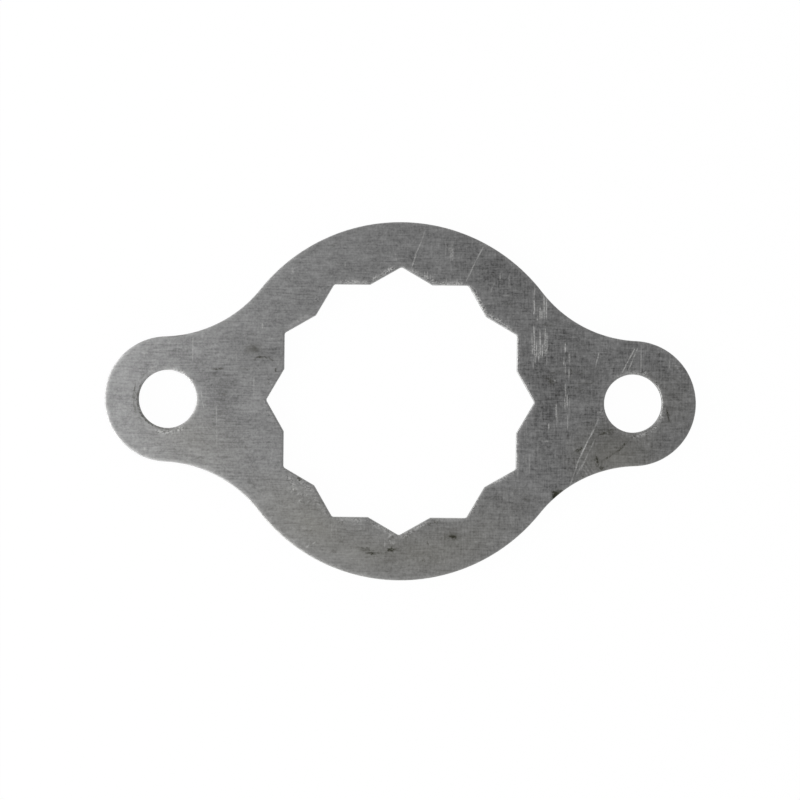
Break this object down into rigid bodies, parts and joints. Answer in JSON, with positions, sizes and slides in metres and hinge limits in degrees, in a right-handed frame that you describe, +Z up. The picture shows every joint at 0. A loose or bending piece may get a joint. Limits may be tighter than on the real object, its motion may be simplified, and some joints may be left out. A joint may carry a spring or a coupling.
{
  "type": "lock plate",
  "caption": "Flat stamped steel lock plate with a twelve-point opening that keeps a hexagon nut from turning, and two ears with bolt holes.",
  "frame": {"origin": "middle of the star opening, on the underside of the plate", "axes": "+X along the line through the two bolt holes, +Y across the plate, +Z up, square to the sheet, out of the face with the rolled edges"},
  "size_m": [0.066, 0.04, 0.0025],
  "materials": {
    "cold_rolled_steel": "bare cold-rolled sheet steel, dull grey, lightly scratched and stained"
  },
  "bodies": {
    "root": {"lock_plate": "cold_rolled_steel"}
  },
  "joints": []
}
